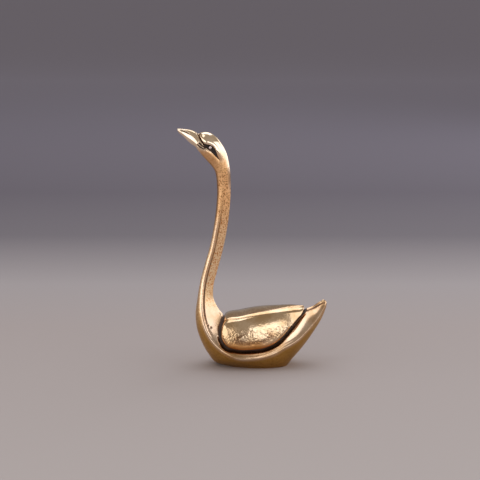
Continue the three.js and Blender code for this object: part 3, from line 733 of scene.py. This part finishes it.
# Drawn through a die: an even yellow with a soft sheen and no patina
rod_brass = aged_brass(
    "drawn_brass_rod",
    bright="#D2A75E",
    tarnished="#B88A42",
    grains=("#B88A42", "#D2A75E"),
    grimes_and_shade=BROWN_GRIME_AND_SHADE,
    roughness=0.3,
    ripple_mm=0.8,
    ripple_depth_mm=0.002,
)
for node in ("front_wing_pin", "rear_wing_pin", "neck_dowel", "head_dowel", "bill_pin"):
    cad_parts[node].data.materials.clear()
    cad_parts[node].data.materials.append(rod_brass)

# Floor
# A wide sheet of pale grey paper that lies flat under the swan, and darker where it runs back out of the light.
# It is matt, so it gives a soft even ground with no reflection of the bird. Each tone has its depth in metres.
PAPER_HALF_SIZE = 6
PAPER_TONES = [
    (-0.1, "#B2A8A4"),
    (0.04, "#A89D9A"),
    (0.1, "#A29A9A"),
    (0.19, "#746E73"),
    (0.3, "#6A646C"),
    (0.45, "#77717B"),
    (0.95, "#9A95A5"),
]
bm = bmesh.new()
bmesh.ops.create_grid(bm, x_segments=1, y_segments=1, size=PAPER_HALF_SIZE)
mesh = bpy.data.meshes.new("paper_floor")
bm.to_mesh(mesh)
bm.free()
paper = bpy.data.objects.new("paper_floor", mesh)
bpy.context.scene.collection.objects.link(paper)
material = bpy.data.materials.new("matt_grey_paper")
material.use_nodes = True
tree = material.node_tree
shader = tree.nodes["Principled BSDF"]
place = add_node(tree, "ShaderNodeTexCoord").outputs["Object"]
depth = add_node(tree, "ShaderNodeSeparateXYZ", {0: place}).outputs["Y"]
share = add_node(tree, "ShaderNodeMapRange", {0: depth, 1: PAPER_TONES[0][0], 2: PAPER_TONES[-1][0]})
tones = add_node(tree, "ShaderNodeValToRGB", {0: share.outputs[0]})
for y, code in PAPER_TONES[1:-1]:
    at = (y - PAPER_TONES[0][0]) / (PAPER_TONES[-1][0] - PAPER_TONES[0][0])
    tones.color_ramp.elements.new(at).color = linear(code)
tones.color_ramp.elements[0].color = linear(PAPER_TONES[0][1])
tones.color_ramp.elements[-1].color = linear(PAPER_TONES[-1][1])
tree.links.new(tones.outputs["Color"], shader.inputs["Base Color"])
shader.inputs["Roughness"].default_value = 0.9
shader.inputs["Specular IOR Level"].default_value = 0.2
paper.data.materials.append(material)

# Studio light
# A broad softbox overhead, one at the right and one behind it, a long low one and a small high one at the left, and
# a low card in front, in a dim warm room.
DAYLIGHT = (0.95, 0.985, 1.06)
ROOM_COLOUR = (0.36, 0.336, 0.312, 1)


def softbox(name, place, aim, size, brightness):
    """A rectangular area lamp of even brightness, turned towards a point."""
    lamp = bpy.data.lights.new(name, "AREA")
    lamp.shape = "RECTANGLE"
    lamp.size, lamp.size_y = size
    lamp.energy = brightness * math.pi * size[0] * size[1]
    lamp.color = DAYLIGHT
    holder = bpy.data.objects.new(name, lamp)
    holder.location = place
    holder.rotation_euler = (Vector(aim) - Vector(place)).to_track_quat("-Z", "Y").to_euler()
    bpy.context.scene.collection.objects.link(holder)


softbox("overhead_softbox", (0.0, 0.25, 0.55), (0, 0, 0), (0.6, 0.56), 1.6)
softbox("right_softbox", (0.45, -0.16, 0.2), (0, 0, 0.05), (0.52, 0.37), 1.3)
softbox("back_right_softbox", (0.42, 0.32, 0.16), (0, 0, 0.05), (0.52, 0.32), 1.4)
softbox("left_softbox", (-0.39, -0.225, 0.115), (0, 0, 0.04), (0.86, 0.2), 1.5)
softbox("high_left_softbox", (-0.19, -0.19, 0.49), (0, 0, 0.02), (0.24, 0.24), 1.5)
softbox("front_card", (0.155, -0.44, 0.104), (0, 0, 0.02), (0.3, 0.14), 1.62)
world = bpy.data.worlds.new("dim_room")
bpy.context.scene.world = world
world.use_nodes = True
world.node_tree.nodes["Background"].inputs["Color"].default_value = ROOM_COLOUR

# Camera
# A long lens on a level stand, a little above the swan and square to its side.
CAMERA_AIM = (-0.00317, 0, 0.03178)
CAMERA_DISTANCE = 0.4
CAMERA_ELEVATION = 10
CAMERA_LENS = 120
SENSOR_WIDTH = 36
camera_data = bpy.data.cameras.new("camera")
camera_data.lens = CAMERA_LENS
camera_data.sensor_width = SENSOR_WIDTH
camera = bpy.data.objects.new("camera", camera_data)
tilt = math.radians(CAMERA_ELEVATION)
camera.location = Vector(CAMERA_AIM) + CAMERA_DISTANCE * Vector((0, -math.cos(tilt), math.sin(tilt)))
camera.rotation_euler = (math.pi / 2 - tilt, 0, 0)
bpy.context.scene.collection.objects.link(camera)
bpy.context.scene.camera = camera
bpy.context.scene.view_settings.view_transform = "Standard"
